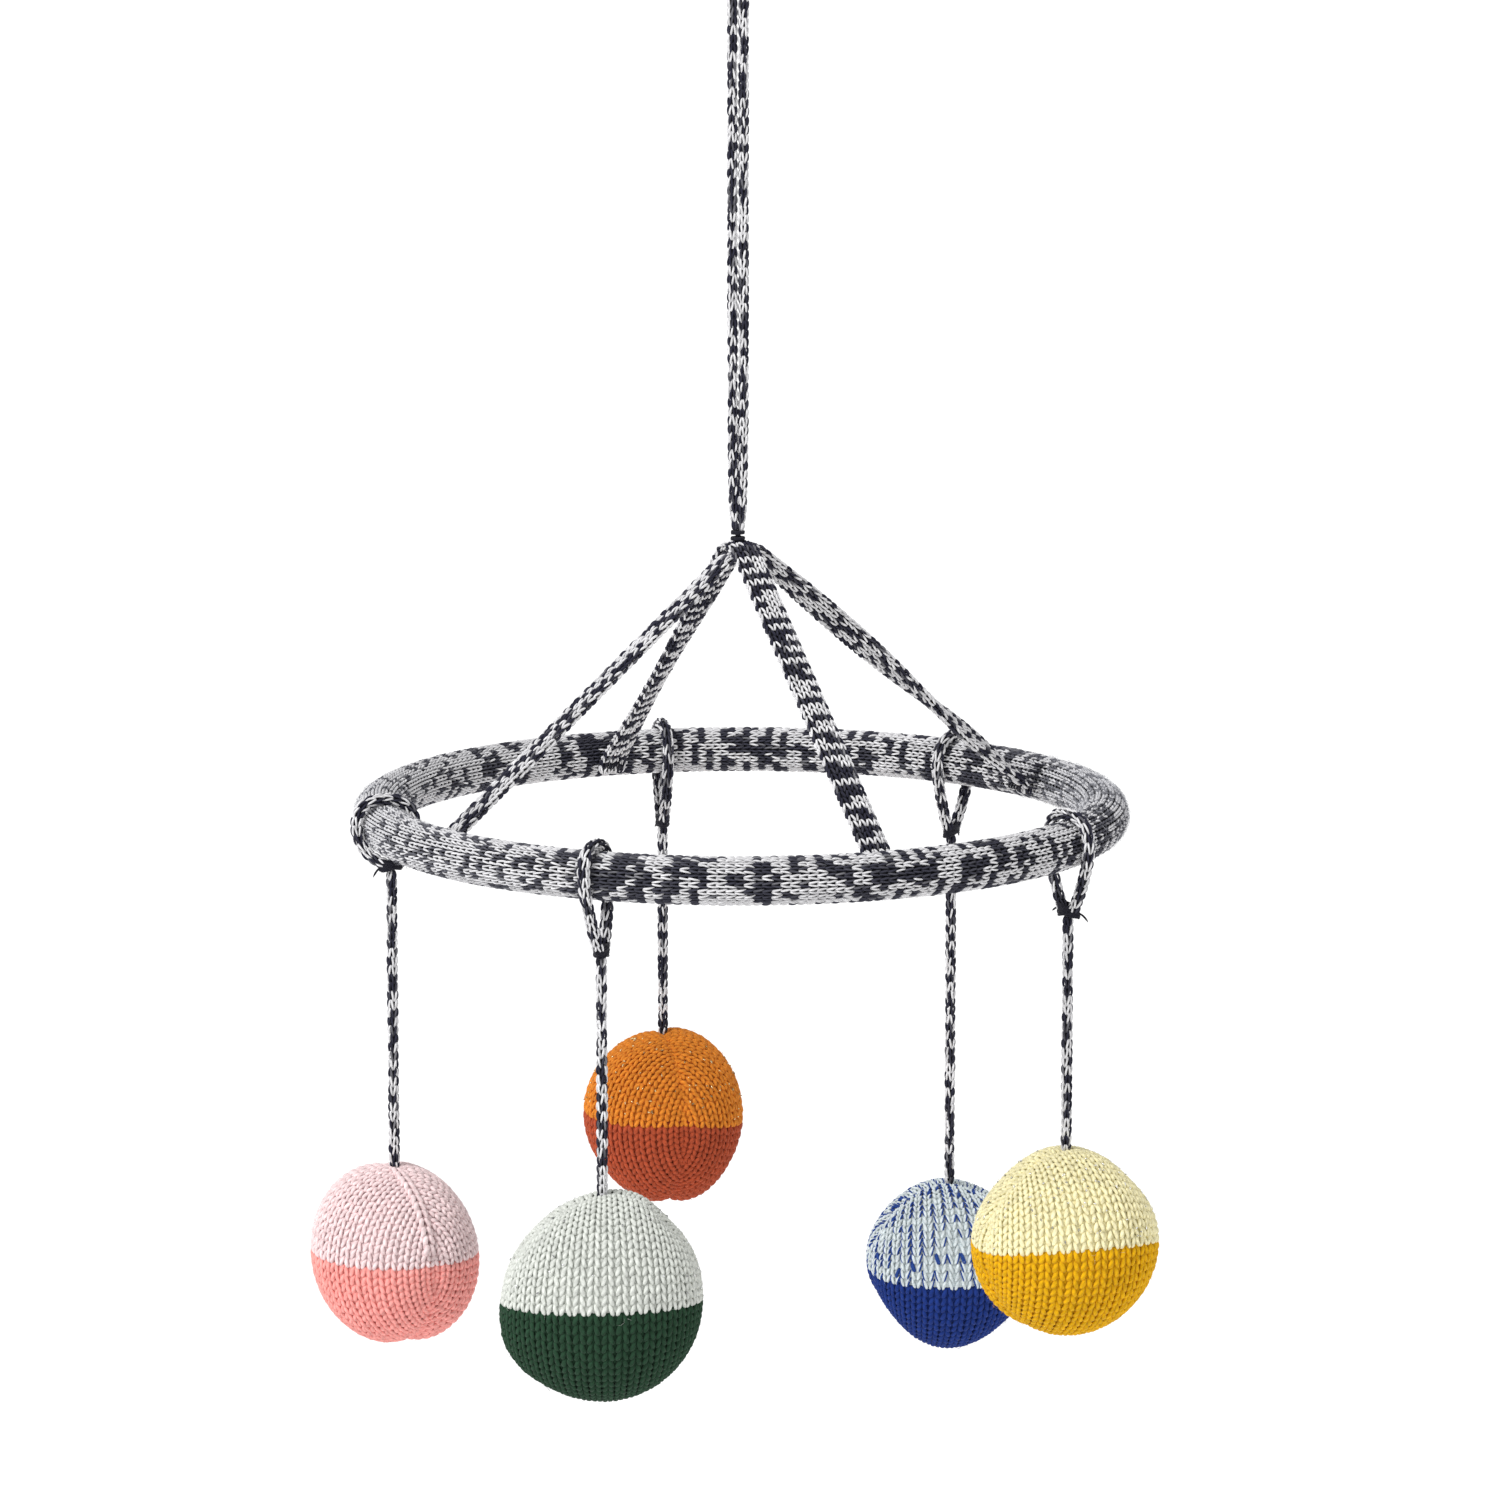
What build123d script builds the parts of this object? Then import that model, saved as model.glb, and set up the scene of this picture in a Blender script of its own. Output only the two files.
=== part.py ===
from build123d import *
import math
import os

# A knitted crib mobile. One knitted cord, folded in two, hangs from a ceiling hook. Its pinched
# lower end is sewn to two knitted straps that cross over each other, and the straps carry a padded
# ring in a knitted cover. Five stuffed, two-coloured balls hang from the ring, each on a thin cord
# whose upper end is looped over the ring and bound back onto itself with thread.
#
# Millimetres, +Z up. The origin is the inside top of the hanging loop, where the hook bears.
# Azimuths are in degrees from +X towards +Y, and -Y is the side that is seen from the front.

# Hanging cord
hanging_cord_diameter = 4.0
strand_spacing = 4.3           # between the centrelines of its two strands
hook_gap = 10.0                # inside width of the hanging loop
loop_straight = 16.0           # how far the loop's sides run down before they close in
loop_closed_drop = 44.0        # where the two strands lie side by side again
crown_straight = 0.1           # half the straight stretch at its top
apex_drop = 258.5              # hook to the top of the crossed straps

# Ring
ring_radius = 141.0            # centre of the tube
tube_radius = 9.1
ring_cover_thickness = 1.5
hoop_radius = 1.6              # the steel hoop inside the wadding
ring_drop = apex_drop + 106.1  # hook to the ring's middle plane

# Straps
strap_width = 9.4
strap_thickness = 4.4
strap_edge_radius = 1.8
over_strap_azimuth = -66.0     # from the front right, over the apex, to the back left
under_strap_azimuth = 30.0     # from the back right, under the other, to the front left
strap_top_half = 4.8           # half the stretch between the folds on top of the apex
strap_top_fold = 4.0           # bend radius at each end of that stretch
strap_knee_drop = 1.0          # below the ring's middle plane, where the strap turns down
strap_end_drop = 7.5           # below that plane too, where it ends on the ring's inner side
strap_press = 0.6              # how deep its end is sewn into the ring's padding
stitch_radius = 0.8            # the bar of thread across each end
stitch_margin = 1.0            # from that bar's ends to the strap's edges
stitch_height = 3.0            # above the strap's end

# Threads at the apex, as heights above the top of the crossed straps
strand_end = 5.6
whipping_top, whipping_base = 4.8, 2.4
stitching_top, stitching_base = 1.5, 0.4
whipping_size = (6.6, 5.2)
stitching_radius = 2.9
whipping_edge, stitching_edge = 0.9, 0.4

# Drop cords, their loops over the ring and the thread that binds each loop
cord_diameter = 4.2
fit_gap = 0.35                 # loop to ring cover, all round
loop_crown_radius = 11.3
leg_corner_drop = 9.6          # below the ring's middle plane, where a loop's legs turn inwards
leg_half_gap = 2.2             # half the distance between the legs inside the binding
binding_size = (8.8, 5.4, 4.6)
binding_edge = 1.2
joint_gap = 0.6                # from a binding to the top of its drop cord

# Balls
cover_thickness = 1.6
layer_gap = 0.1                # between a ball's cover and its filling
cord_hole_gap = 0.35
knot_radius = 3.6
knot_drop = 6.0                # centre of the hidden knot below the ball's crown
knot_overlap = 0.4             # how far the cord is cut back into its knot

# For each ball: azimuth on the ring, height of its binding and of its centre below the ring's
# middle plane, its width across the side seams, thickness and height, the azimuth that the width
# lies along, and the height of its colour change above its centre.
balls = {
    "pink": (-161.3, 14.2, 164.6, (72.0, 61.0, 71.0), -60.0, 0.6),
    "green": (-111.4, 27.8, 159.6, (77.0, 66.0, 79.2), 0.0, -0.8),
    "orange": (103.4, 28.9, 153.7, (74.0, 64.5, 74.6), -75.0, 2.5),
    "blue": (52.8, 28.0, 209.9, (71.0, 62.0, 72.5), 12.0, -3.5),
    "yellow": (-28.7, 25.5, 154.0, (75.0, 62.0, 74.5), 28.0, -1.4),
}

ring_z = -ring_drop
apex_z = -apex_drop
cord_radius = cord_diameter / 2


def save(node, shape):
    """Writes one node's solids."""
    shape.label = node
    export_step(shape, f"parts/{node}.step")


def tube(name, points, radii, radius):
    """A round cord along straight runs joined by tangent arcs."""
    path = FilletPolyline(*points, radius=radii) if radii else Line(*points)
    section = Plane(origin=path @ 0, z_dir=path % 0) * Circle(radius)
    cord = sweep(section, path=path)
    ratio = cord.volume / (math.pi * radius**2 * path.length)
    bends = ", ".join(f"{r:.1f}" for r in radii) or "none"
    print(f"{name}: length {path.length:.1f} mm, bend radii {bends}, volume ratio {ratio:.4f}")
    return cord


def corner_radius(before, corner, after, share=0.45):
    """The largest arc that a corner of a cord's route allows: share of its shorter run each side."""
    arriving = Vector(*corner) - Vector(*before)
    leaving = Vector(*after) - Vector(*corner)
    half_turn = math.radians(arriving.get_angle(leaving)) / 2
    return share * min(arriving.length, leaving.length) / math.tan(half_turn)


def ellipsoid(size):
    """An ellipsoid of this width, thickness and height, centred on the origin."""
    return scale(Sphere(1), by=(size[0] / 2, size[1] / 2, size[2] / 2))


def hanging_cord():
    """Both strands and the loop at the top, in the XZ plane."""
    radius = hanging_cord_diameter / 2
    inner = strand_spacing / 2
    outer = hook_gap / 2 + radius
    crown = outer - crown_straight
    left = [
        (-inner, 0, apex_z + strand_end),
        (-inner, 0, -loop_closed_drop),
        (-outer, 0, radius - loop_straight),
        (-outer, 0, radius),
    ]
    right = [(-x, y, z) for x, y, z in reversed(left)]
    points = left + right
    closing = corner_radius(*points[0:3])
    parting = corner_radius(*points[1:4])
    radii = [closing, parting, crown, crown, parting, closing]
    return tube("hanging_cord", points, radii, radius)


def strap(azimuth, centre_z):
    """One strap in its vertical plane, from the ring over the apex and down to the ring again."""
    side = ring_radius - tube_radius - strap_thickness / 2 + strap_press
    points = [
        (side, 0, ring_z - strap_end_drop),
        (side, 0, ring_z - strap_knee_drop),
        (strap_top_half, 0, centre_z),
    ]
    points += [(-x, y, z) for x, y, z in reversed(points)]
    knee = corner_radius(*points[0:3])
    path = FilletPolyline(*points, radius=[knee, strap_top_fold, strap_top_fold, knee])
    outline = RectangleRounded(strap_thickness, strap_width, strap_edge_radius)
    section = Plane(origin=path @ 0, x_dir=(1, 0, 0), z_dir=path % 0) * outline
    band = sweep(section, path=path)
    seat = Pos(0, 0, ring_z) * Torus(ring_radius, tube_radius)
    return Rot(0, 0, azimuth) * (band - seat)


def strap_stitches():
    """A short bar of thread across each of the four strap ends."""
    face = ring_radius - tube_radius + strap_press - strap_thickness
    bar = Rot(90, 0, 0) * Cylinder(stitch_radius, strap_width - 2 * stitch_margin)
    bar = Pos(face, 0, ring_z - strap_end_drop + stitch_height) * bar
    turns = [t for a in (over_strap_azimuth, under_strap_azimuth) for t in (a, a + 180)]
    return Compound(children=[Rot(0, 0, turn) * bar for turn in turns])


def hanging_cord_threads():
    """The whipping round the pinched strands and the stitches that sew them to the straps."""
    whipping = extrude(Ellipse(*(s / 2 for s in whipping_size)), whipping_top - whipping_base)
    whipping = fillet(whipping.edges(), whipping_edge)
    stitching = extrude(Circle(stitching_radius), stitching_top - stitching_base)
    stitching = fillet(stitching.edges(), stitching_edge)
    save("cord_whipping", Pos(0, 0, apex_z + whipping_base) * whipping)
    save("apex_stitching", Pos(0, 0, apex_z + stitching_base) * stitching)


def ring():
    """Hoop, wadding and knitted cover, one inside the other."""
    padding_radius = tube_radius - ring_cover_thickness
    place = Pos(0, 0, ring_z)
    outer = Torus(ring_radius, tube_radius)
    save("ring_hoop", place * Torus(ring_radius, hoop_radius))
    save("ring_wadding", place * (Torus(ring_radius, padding_radius) - Torus(ring_radius, hoop_radius)))
    save("ring_cover", place * (outer - Torus(ring_radius, padding_radius)))


def ring_loop(colour, binding_drop):
    """The loop that a drop cord makes over the ring, in the XZ plane with the tube at the origin."""
    side = tube_radius + cord_radius + fit_gap
    left = [(-leg_half_gap, 0, -binding_drop), (-side, 0, -leg_corner_drop), (-side, 0, side)]
    points = left + [(-x, y, z) for x, y, z in reversed(left)]
    leg = corner_radius(*points[0:3])
    radii = [leg, loop_crown_radius, loop_crown_radius, leg]
    return tube(f"{colour}_loop", points, radii, cord_radius)


def binding():
    """The oval wrap of thread that closes a loop, centred on the origin."""
    width, depth, height = binding_size
    wrap = Pos(0, 0, -height / 2) * extrude(Ellipse(width / 2, depth / 2), height)
    return fillet(wrap.edges(), binding_edge)


def hanging_ball(colour, azimuth, binding_drop, centre_drop, size, width_azimuth, colour_step):
    """One ball with its cord, loop and binding, placed round the ring."""
    arm = Rot(0, 0, azimuth) * Pos(ring_radius, 0, 0) * Pos(0, 0, ring_z)
    crown = size[2] / 2 - centre_drop
    cord_top = -binding_drop - binding_size[2] / 2 - joint_gap
    knot_z = crown - knot_drop
    save(f"{colour}_loop", arm * ring_loop(colour, binding_drop))
    save(f"{colour}_binding", arm * Pos(0, 0, -binding_drop) * binding())

    run = [(0, 0, cord_top), (0, 0, knot_z + knot_radius - knot_overlap)]
    knot = Pos(0, 0, knot_z) * Sphere(knot_radius)
    cord = tube(f"{colour}_drop_cord", run, [], cord_radius) - knot
    save(f"{colour}_drop_cord", arm * cord)
    save(f"{colour}_knot", arm * knot)

    place = Pos(0, 0, -centre_drop) * Rot(0, 0, width_azimuth - azimuth)
    inner = [s - 2 * cover_thickness for s in size]
    stuffed = [s - 2 * layer_gap for s in inner]
    hole = Cylinder(cord_radius + cord_hole_gap, 2 * size[2])
    hole = Pos(0, 0, size[2]) * hole
    shell = place * (ellipsoid(size) - ellipsoid(inner)) - Pos(0, 0, -centre_drop) * hole
    change = -centre_drop + colour_step
    block = Box(2 * size[0], 2 * size[0], 2 * size[2])
    above = Pos(0, 0, change + size[2]) * block
    below = Pos(0, 0, change - size[2]) * block
    cavity = Pos(0, 0, knot_z) * Sphere(knot_radius + cord_hole_gap) + Pos(0, 0, -centre_drop) * hole
    save(f"{colour}_cover_top", arm * (shell & above))
    save(f"{colour}_cover_base", arm * (shell & below))
    save(f"{colour}_filling", arm * (place * ellipsoid(stuffed) - cavity))


os.makedirs("parts", exist_ok=True)
save("hanging_cord", hanging_cord())
hanging_cord_threads()
ring()
top_layer = apex_z - strap_thickness / 2
save("strap_over", strap(over_strap_azimuth, top_layer))
save("strap_under", strap(under_strap_azimuth, top_layer - strap_thickness - layer_gap))
save("strap_stitches", strap_stitches())
for colour, values in balls.items():
    hanging_ball(colour, *values)
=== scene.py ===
import math

import bmesh
import bpy
import numpy as np
from mathutils import Matrix, Vector
from mathutils.bvhtree import BVHTree


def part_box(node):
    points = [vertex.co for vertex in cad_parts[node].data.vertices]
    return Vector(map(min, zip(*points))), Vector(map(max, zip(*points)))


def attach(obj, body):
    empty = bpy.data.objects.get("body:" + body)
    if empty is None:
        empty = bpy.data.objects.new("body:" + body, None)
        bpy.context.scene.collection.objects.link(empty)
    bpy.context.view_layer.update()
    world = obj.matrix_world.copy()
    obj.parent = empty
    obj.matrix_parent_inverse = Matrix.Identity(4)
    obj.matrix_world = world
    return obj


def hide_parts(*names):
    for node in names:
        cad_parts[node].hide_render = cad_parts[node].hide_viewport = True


# A knitted crib mobile. Every knitted surface is made of its real stitches: each one is two plump
# legs of yarn that make a V, laid in courses and wales over a ring, a strap, a cord or a ball.
# Metres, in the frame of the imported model: the hook bears at the origin and -Y is the front.

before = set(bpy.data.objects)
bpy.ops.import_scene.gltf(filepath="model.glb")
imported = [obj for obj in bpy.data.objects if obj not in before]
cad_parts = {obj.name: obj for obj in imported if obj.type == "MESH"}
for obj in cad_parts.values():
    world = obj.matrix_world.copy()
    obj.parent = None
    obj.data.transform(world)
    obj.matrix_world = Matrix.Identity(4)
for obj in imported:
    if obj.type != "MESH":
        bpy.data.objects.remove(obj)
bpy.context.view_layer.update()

MM = 0.001

# The ring, the apex and the cords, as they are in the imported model.
APEX_Z = -0.2585
RING_Z = -0.3646
RING_RADIUS = 0.141
TUBE_RADIUS = 0.0091
HANGING_CORD_DIAMETER = 0.004
CORD_DIAMETER = 0.0042
STRAP_THICKNESS = 0.0044
APEX_LEAN = -0.0013     # the hanging cord and the apex hang this far to the left of the ring's middle

# Yarn colours, linear.
NAVY = (0.024, 0.024, 0.041)
WHITE = (0.76, 0.755, 0.77)
THREAD = (0.012, 0.012, 0.020)
# painted shade: the inner face of a melange knit is real, but it is near black here so that the gaps between
# its stitches read as shadow
BACKING_SHADE = (0.012, 0.012, 0.018)     # inside a melange knit, between its stitches

# One leg of a stitch: its two tips and the rings between them. A leg starts in front, low and near
# the middle of its wale, leans outwards as it rises and ends behind the stitch above.
LEG_ALONG = np.array([-0.20, -0.10, 0.05, 0.26, 0.48, 0.70, 0.90, 1.06, 1.18])     # in courses
LEG_LEAN = np.array([-0.10, 0.0, 0.14, 0.36, 0.60, 0.80, 0.95, 1.03, 1.05])        # from foot to head
LEG_LIFT = np.array([-0.80, -0.20, 0.25, 0.42, 0.38, 0.12, -0.42, -1.05, -1.50])   # in half thicknesses
LEG_GIRTH = np.array([0.70, 0.96, 1.0, 1.0, 0.93, 0.80, 0.62])                     # at the rings

# Kinds of knitting: stitch width and height, half the yarn's thickness, its width and the places of
# a leg's foot and head as shares of the stitch's width, and the sides of the yarn's outline.
RING_KNIT = dict(wale=0.00285, course=0.00320, thickness=0.00052, girth=0.285, foot=0.12, head=0.33, sides=6)
STRAP_KNIT = dict(wale=0.00290, course=0.00290, thickness=0.00054, girth=0.30, foot=0.13, head=0.36, sides=6)
CORD_KNIT = dict(wale=0.00250, course=0.00340, thickness=0.00046, girth=0.34, foot=0.12, head=0.35, sides=6)
BALL_KNIT = dict(wale=0.00515, course=0.00325, thickness=0.00072, girth=0.325, foot=0.15, head=0.375, sides=8)
SOFT_KNIT = dict(BALL_KNIT, girth=0.375, thickness=0.00076)     # brushed, so that its gaps close
MARL_KNIT = dict(BALL_KNIT, sides=6)                            # a thin second strand
RIDGE_KNIT = dict(BALL_KNIT, girth=0.40, thickness=0.00092)     # along a seam that stands up

# How uneven the stitches are, as standard deviations: their places in courses and wales, a leg's length,
# reach and girth, its lift in half thicknesses and its shade.
UNEVEN = dict(course=0.018, wale=0.010, length=0.02, reach=0.006, girth=0.04, lift=0.05, shade=0.03)

# How the yarn is dyed, as the typical lengths of a navy and a white run in legs, each with its spread.
RING_RUNS = ((9, 0.9), (9, 0.85))
BRUSHED_RUNS = ((1.7, 0.5), (5.4, 0.6))
OVER_RUNS = ((15, 0.4), (16, 0.4))
UNDER_RUNS = ((2.2, 0.5), (2.8, 0.5))
CORD_RUNS = ((2.7, 0.3), (2.8, 0.3))

# The straps: rise is how much higher the first corner at the apex stands than the second, and ends is how
# far below the ring's middle plane the two ends are.
STRAPS = {
    "strap_over": dict(azimuth=-66.0, width=0.0118, rise=0.0, ends=(0.0068, 0.0052), runs=OVER_RUNS),
    "strap_under": dict(azimuth=30.0, width=0.0106, rise=0.0040, ends=(0.0045, 0.0060), runs=UNDER_RUNS),
}

# Each ball. azimuth is its loop's place on the ring; binding_drop, corner_drop and crown are the heights
# of the binding, of the turn of the loop's legs and of the ball's crown from the ring's middle plane;
# binding_height is how far the binding's turns spread; lean is how far the loop's crown stands along the
# ring from its feet, and slant how many degrees the loop is turned across the ring. width lies along
# width_azimuth. colour_step is the colour change above the ball's middle; from there the courses rise by
# bow at the middle of the front and of the back panel and by slope towards one side, in quarter turns.
# light and deep are the yarns, marl is a second strand, ridge is how far a seam stands up from the crown
# down, in quarter turns, glints are the number and colour of the glints of metal yarn, and lumps are the
# stuffing's lumps as azimuth, elevation, height in millimetres and spread in degrees.
BALLS = {
    "pink": dict(
        azimuth=-161.3, binding_drop=0.0123, corner_drop=0.0086, binding_height=0.0032,
        crown=-0.1291, width=0.072, thickness=0.061, width_azimuth=-60, colour_step=0.0030,
        bow=(-0.045, -0.045), lean=-0.0095, light=(0.87, 0.685, 0.69), deep=(0.93, 0.375, 0.34), ridge=0.80,
        lumps=[(180, 45, 1.4, 32), (0, -45, 1.4, 32), (0, 40, -1.3, 32)],
    ),
    "green": dict(
        azimuth=-111.4, binding_drop=0.0278, crown=-0.1200, width=0.077, thickness=0.066,
        width_azimuth=0, colour_step=-0.0014, bow=(0.046, 0.046), slope=0.018, lean=-0.0026,
        light=(0.67, 0.69, 0.645), deep=(0.018, 0.052, 0.027), glints=(60, (0.95, 0.95, 0.97)),
        lumps=[(0, 74, 2.6, 20), (180, 47, -2.2, 28), (180, -28, 3.0, 26), (0, 50, -1.4, 12)],
    ),
    "orange": dict(
        azimuth=103.4, binding_drop=0.0289, crown=-0.1164, width=0.074, thickness=0.0645,
        width_azimuth=-75, colour_step=0.0055, bow=(-0.060, -0.140), lean=0.0,
        light=(0.73, 0.24, 0.026), deep=(0.43, 0.076, 0.030), glints=(170, (1.0, 0.80, 0.42)),
        lumps=[(180, -48, -3.2, 30), (0, -30, -1.8, 26), (180, 60, -1.8, 24), (0, 62, 1.0, 22)],
    ),
    "blue": dict(
        azimuth=52.8, binding_drop=0.0280, crown=-0.17365, width=0.071, thickness=0.062,
        width_azimuth=12, colour_step=-0.0035, bow=(0.0, 0.0), lean=-0.0016,
        light=(0.68, 0.75, 0.77), deep=(0.012, 0.036, 0.205), marl=(0.022, 0.062, 0.27),
        lumps=[(180, -38, -4.0, 30), (0, -50, -2.6, 30), (0, 65, -2.4, 26), (180, 45, -1.1, 26)],
    ),
    "yellow": dict(
        azimuth=-28.7, binding_drop=0.0255, crown=-0.11675, width=0.075, thickness=0.062,
        width_azimuth=28, colour_step=-0.0037, bow=(0.112, 0.112), slope=-0.030, lean=0.0, slant=-30,
        light=(0.91, 0.84, 0.52), deep=(0.74, 0.40, 0.004), glints=(170, (1.0, 1.0, 1.0)),
        lumps=[(180, 44, -3.2, 22), (0, 42, -3.4, 22), (-90, 42, -2.0, 26), (90, 42, -2.0, 26)],
    ),
}


# ---------------------------------------------------------------------------- camera and cords


def place_camera():
    """The camera, level with the hook and looking down at the ring a little."""
    data = bpy.data.cameras.new("camera")
    data.sensor_width = 36
    data.lens = 148.3
    data.clip_end = 200
    camera = bpy.data.objects.new("camera", data)
    camera.location = (0.0033, -2.3606, 0.0702)
    camera.rotation_euler = (math.radians(90 - 9.87), 0, 0)
    bpy.context.scene.collection.objects.link(camera)
    bpy.context.scene.camera = camera


def route(name, points):
    """The points along one open NURBS spline that has these control points."""
    curve = bpy.data.curves.new(name, "CURVE")
    curve.dimensions = "3D"
    curve.resolution_u = 32
    line = curve.splines.new("NURBS")
    line.points.add(len(points) - 1)
    for control, point in zip(line.points, points):
        control.co = (*point, 1)
    line.order_u = 3
    line.use_endpoint_u = True
    holder = bpy.data.objects.new(name, curve)
    mesh = bpy.data.meshes.new_from_object(holder)
    path = np.array([v.co for v in mesh.vertices])
    bpy.data.objects.remove(holder)
    bpy.data.meshes.remove(mesh)
    return path


def arm(azimuth, points):
    """Points given from the tube's centre at this azimuth, as outwards, along the ring and up."""
    turn = math.radians(azimuth)
    out, along, up = np.array(points, float).T
    out = out + RING_RADIUS
    x = out * math.cos(turn) - along * math.sin(turn)
    y = out * math.sin(turn) + along * math.cos(turn)
    return np.stack([x, y, up + RING_Z], axis=1)


def radial(azimuth):
    """The directions outwards and along the ring at this azimuth."""
    turn = math.radians(azimuth)
    return np.array([math.cos(turn), math.sin(turn), 0]), np.array([-math.sin(turn), math.cos(turn), 0])


def hanging_cord_route():
    """Up one strand, over the hook and down the other."""
    strand = [
        (-0.00110, 0, -0.2546),
        (-0.00215, 0, -0.2450),
        (-0.00215, 0, -0.0700),
        (-0.00215, 0, -0.0440),
        (-0.0070, 0, -0.0140),
        (-0.0070, 0, 0.0020),
    ]
    points = strand + [(-x, y, z) for x, y, z in reversed(strand)]
    return route("hanging_cord_route", [(x + APEX_LEAN, y, z) for x, y, z in points])


def loop_route(colour, ball):
    """Up from the binding, over the ring and back down to it, at a slant across the ring if it has one."""
    lean, side = ball["lean"], 0.01155
    skew = side * math.tan(math.radians(ball.get("slant", 0)))
    corner = -ball.get("corner_drop", 0.0096)
    legs = [[
        (sign * 0.00220, 0, -ball["binding_drop"]),
        (sign * side, 0.6 * lean + sign * skew, corner),
        (sign * side, lean + sign * skew, 0.0112),
    ] for sign in (-1, 1)]
    return route(f"{colour}_loop_route", arm(ball["azimuth"], legs[0] + legs[1][::-1]))


def drop_cord_route(colour, ball):
    """Straight down from the binding into the ball."""
    top = -ball["binding_drop"] - 0.0019
    end = ball["crown"] - 0.0028
    points = [(0, 0, top), (0, 0, top - 0.025), (0, 0, end + 0.025), (0, 0, end)]
    return route(f"{colour}_drop_cord_route", arm(ball["azimuth"], points))


def strap_route(name, strap, centre_z):
    """Up from the ring, over the apex and down to the ring again, in the strap's own plane."""
    side = RING_RADIUS - TUBE_RADIUS - STRAP_THICKNESS / 2 + 0.0006
    halves = []
    for corner, end in zip(((0.0052, 0, centre_z + strap["rise"]), (0.0048, 0, centre_z)), strap["ends"]):
        knee = (side, 0, RING_Z - 0.0010)
        lean = Vector(corner) - Vector(knee)
        halves.append([
            (side, 0, RING_Z - end),
            knee,
            tuple(Vector(knee) + 0.06 * lean),
            tuple(Vector(knee) + 0.96 * lean),
            corner,
        ])
    points = halves[0] + [(-x, y, z) for x, y, z in reversed(halves[1])]
    c, s, _ = radial(strap["azimuth"])[0]
    return route(name, [(x * c + APEX_LEAN * (1 - abs(x) / side), x * s, z) for x, y, z in points])


# ---------------------------------------------------------------------------- meshes


def unit(vectors):
    return vectors / np.maximum(np.linalg.norm(vectors, axis=-1, keepdims=True), 1e-12)


def tubes(rings, tips, colours, lengths, offsets=None, material=0, closed=False):
    """Closed tubes, all of one pattern: rings is (tube, ring, side, 3) and tips (tube, 2, 3).

    A closed one joins its last ring to its first and has no tips."""
    count, rows, sides, _ = rings.shape
    points = rings.reshape(count, rows * sides, 3)
    if not closed:
        points = np.concatenate([points, tips], axis=1)
    stride = points.shape[1]
    r, s = np.meshgrid(np.arange(rows if closed else rows - 1), np.arange(sides), indexing="ij")
    r = r.reshape(-1, 1) + np.array([0, 0, 1, 1])
    s = s.reshape(-1, 1) + np.array([0, 1, 1, 0])
    quads = (r % rows) * sides + s % sides
    quad_uv = np.stack([(r + 1) / (rows + 1), s / sides], -1)
    n = np.arange(sides)
    beside, last, edge = (n + 1) % sides, (rows - 1) * sides, 1 / (rows + 1)
    start = np.stack([np.full(sides, stride - 2), beside, n], 1)
    end = np.stack([np.full(sides, stride - 1), last + n, last + beside], 1)
    middle, near, far = (n + 0.5) / sides, n / sides, (n + 1) / sides
    flat = np.zeros(sides)
    start_uv = np.stack([flat, middle, flat + edge, far, flat + edge, near], 1)
    end_uv = np.stack([flat + 1, middle, flat + 1 - edge, near, flat + 1 - edge, far], 1)
    triangles = np.concatenate([start, end])
    triangle_uv = np.concatenate([start_uv, end_uv]).reshape(-1, 3, 2)
    if closed:
        triangles, triangle_uv = triangles[:0], triangle_uv[:0]
    base = (np.arange(count) * stride)[:, None, None]
    return {
        "points": points.reshape(-1, 3),
        "colours": np.repeat(np.asarray(colours, float).reshape(-1, 3) * np.ones((count, 1)), stride, 0),
        "faces": [(quads[None] + base, quad_uv), (triangles[None] + base, triangle_uv)],
        "count": count,
        "lengths": np.asarray(lengths, float) * np.ones(count),
        "offsets": np.zeros(count) if offsets is None else offsets,
        "material": material,
    }


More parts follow.
